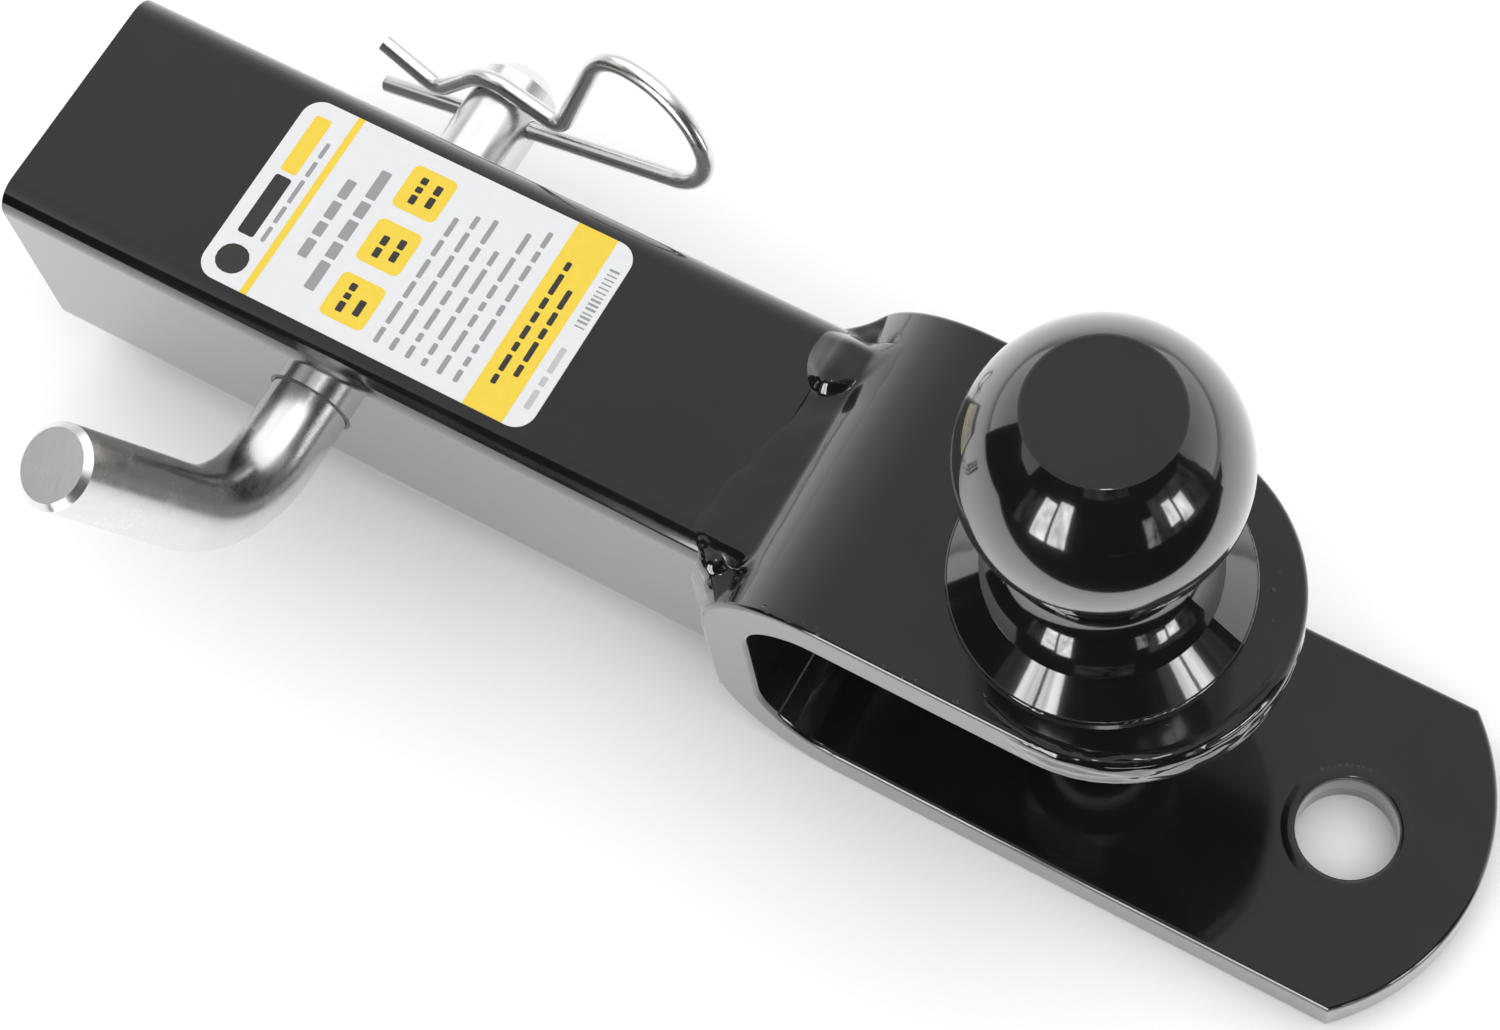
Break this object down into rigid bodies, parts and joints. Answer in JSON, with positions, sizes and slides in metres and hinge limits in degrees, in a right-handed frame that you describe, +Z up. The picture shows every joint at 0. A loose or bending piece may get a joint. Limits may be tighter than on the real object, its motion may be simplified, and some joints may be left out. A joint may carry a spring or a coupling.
{
  "type": "receiver hitch ball mount",
  "caption": "Square-shank drawbar for a receiver socket with a tow ball above, a drop-pin tongue below, and a bent hitch pin held by a spring clip.",
  "frame": {"origin": "On the shank's centre line, at the axis of the hitch pin hole.", "axes": "+X runs along the shank towards the towed vehicle, +Y is the side with the pin's clip, +Z is up towards the ball."},
  "size_m": [0.2912, 0.1294, 0.1411],
  "materials": {
    "black_paint": "gloss",
    "black_weld": "gloss",
    "black_ball": "gloss",
    "black_fastener": "satin",
    "zinc_pin": "polished",
    "zinc_wire": "polished",
    "label_print": "satin"
  },
  "bodies": {
    "mount": {"shank_tube": "black_paint", "clevis_bracket": "black_paint", "weld_near": "black_weld", "weld_far": "black_weld", "weld_top": "black_weld", "weld_bottom": "black_weld", "hitch_ball": "black_ball", "ball_lock_washer": "black_fastener", "ball_nut": "black_fastener", "product_label": "label_print"},
    "pin": {"hitch_pin": "zinc_pin"},
    "clip": {"retaining_clip": "zinc_wire", "clip_spring_leg": "zinc_wire"}
  },
  "joints": [
    {"name": "pin_turn", "type": "hinge", "parent": "mount", "child": "pin", "pos_m": [0, 0, 0], "axis": [0, 1, 0], "range_deg": [-180, 180]},
    {"name": "clip_pull", "type": "slide", "parent": "pin", "child": "clip", "axis": [0.9659, 0, 0.2588], "range_m": [0, 0.038], "deforming": ["clip_spring_leg"]}
  ]
}
